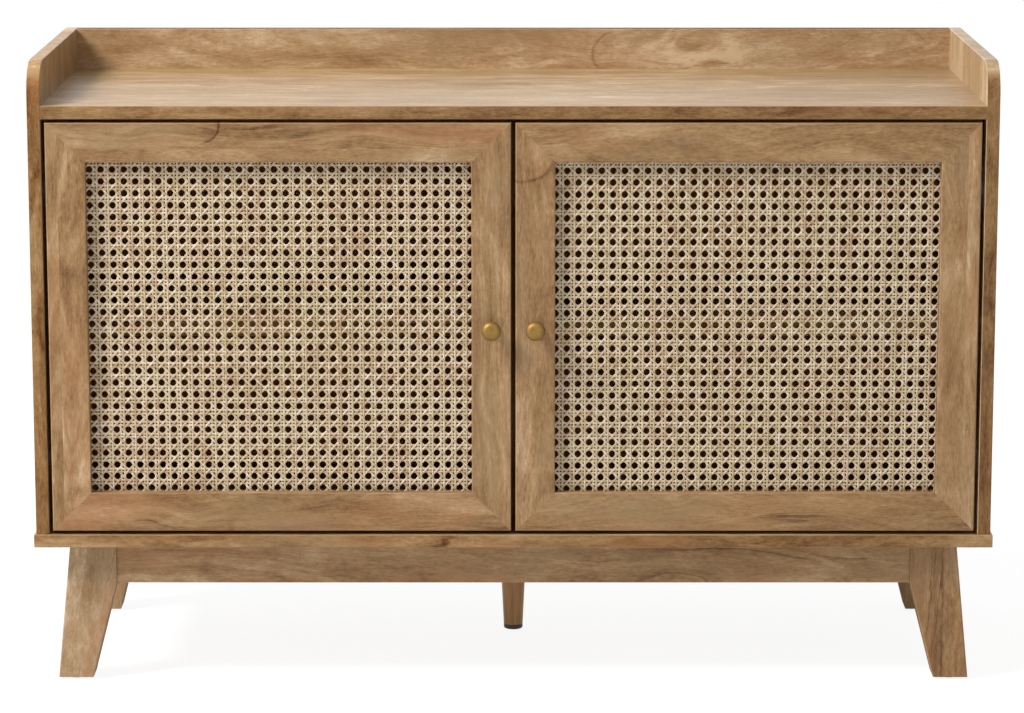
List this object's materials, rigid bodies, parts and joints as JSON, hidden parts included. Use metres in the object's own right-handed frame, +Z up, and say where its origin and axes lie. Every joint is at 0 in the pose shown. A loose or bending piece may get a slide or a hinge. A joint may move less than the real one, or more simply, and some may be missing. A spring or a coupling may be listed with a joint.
{
  "type": "sideboard",
  "caption": "Low sideboard with woven cane panels in mitred door frames, a raised gallery round the top and splayed tapered legs; the doors swing open on concealed hinges.",
  "frame": {"origin": "on the floor, at the centre of the object's bounding box seen from above", "axes": "+X to the right seen from the front, +Y to the back, +Z up; the doors face -Y"},
  "size_m": [1.1, 0.4194, 0.72],
  "materials": {
    "printed_foil": "satin printed wood foil on board",
    "cane": "woven natural cane",
    "bead_wood": "satin",
    "hardboard": "printed hardboard",
    "turned_wood": "satin turned wood",
    "beech": "plain",
    "knob_brass": "brushed antique",
    "hinge_steel": "nickel plated",
    "fixing_steel": "zinc plated",
    "black_plastic": "matte",
    "clear_rubber": "soft pad"
  },
  "bodies": {
    "carcass": {"back_panel_pins": "fixing_steel", "back_upstand": "printed_foil", "bottom_panel": "printed_foil", "cam_bolts": "fixing_steel", "cam_locks": "fixing_steel", "centre_divider": "printed_foil", "centre_foot": "turned_wood", "centre_foot_glide": "black_plastic", "door_bumpers": "clear_rubber", "dowels": "beech", "front_apron": "printed_foil", "front_left_leg": "printed_foil", "front_right_leg": "printed_foil", "hinge_plate_screws": "hinge_steel", "hinge_plates": "hinge_steel", "left_apron": "printed_foil", "left_back_panel": "hardboard", "left_lower_hinge_arm": "hinge_steel", "left_shelf": "printed_foil", "left_side_panel": "printed_foil", "left_upper_hinge_arm": "hinge_steel", "leg_bolts": "fixing_steel", "leg_glides": "black_plastic", "rear_apron": "printed_foil", "rear_left_leg": "printed_foil", "rear_right_leg": "printed_foil", "right_apron": "printed_foil", "right_back_panel": "hardboard", "right_lower_hinge_arm": "hinge_steel", "right_shelf": "printed_foil", "right_side_panel": "printed_foil", "right_upper_hinge_arm": "hinge_steel", "shelf_pegs": "fixing_steel", "top_panel": "printed_foil"},
    "left_door": {"left_door_bottom_rail": "printed_foil", "left_door_cane_beads": "bead_wood", "left_door_cane_panel": "cane", "left_door_hinge_cup_screws": "hinge_steel", "left_door_hinge_pins": "hinge_steel", "left_door_hinge_stile": "printed_foil", "left_door_knob": "knob_brass", "left_door_knob_screw": "fixing_steel", "left_door_lower_hinge_cup": "hinge_steel", "left_door_meeting_stile": "printed_foil", "left_door_mitre_splines": "beech", "left_door_top_rail": "printed_foil", "left_door_upper_hinge_cup": "hinge_steel"},
    "right_door": {"right_door_bottom_rail": "printed_foil", "right_door_cane_beads": "bead_wood", "right_door_cane_panel": "cane", "right_door_hinge_cup_screws": "hinge_steel", "right_door_hinge_pins": "hinge_steel", "right_door_hinge_stile": "printed_foil", "right_door_knob": "knob_brass", "right_door_knob_screw": "fixing_steel", "right_door_lower_hinge_cup": "hinge_steel", "right_door_meeting_stile": "printed_foil", "right_door_mitre_splines": "beech", "right_door_top_rail": "printed_foil", "right_door_upper_hinge_cup": "hinge_steel"}
  },
  "joints": [
    {"name": "left_door_hinge", "type": "hinge", "parent": "carcass", "child": "left_door", "pos_m": [-0.5125, -0.17675, 0.4165], "axis": [0, 0, -1], "range_deg": [0, 95]},
    {"name": "right_door_hinge", "type": "hinge", "parent": "carcass", "child": "right_door", "pos_m": [0.5125, -0.17675, 0.4165], "axis": [0, 0, 1], "range_deg": [0, 95]}
  ]
}
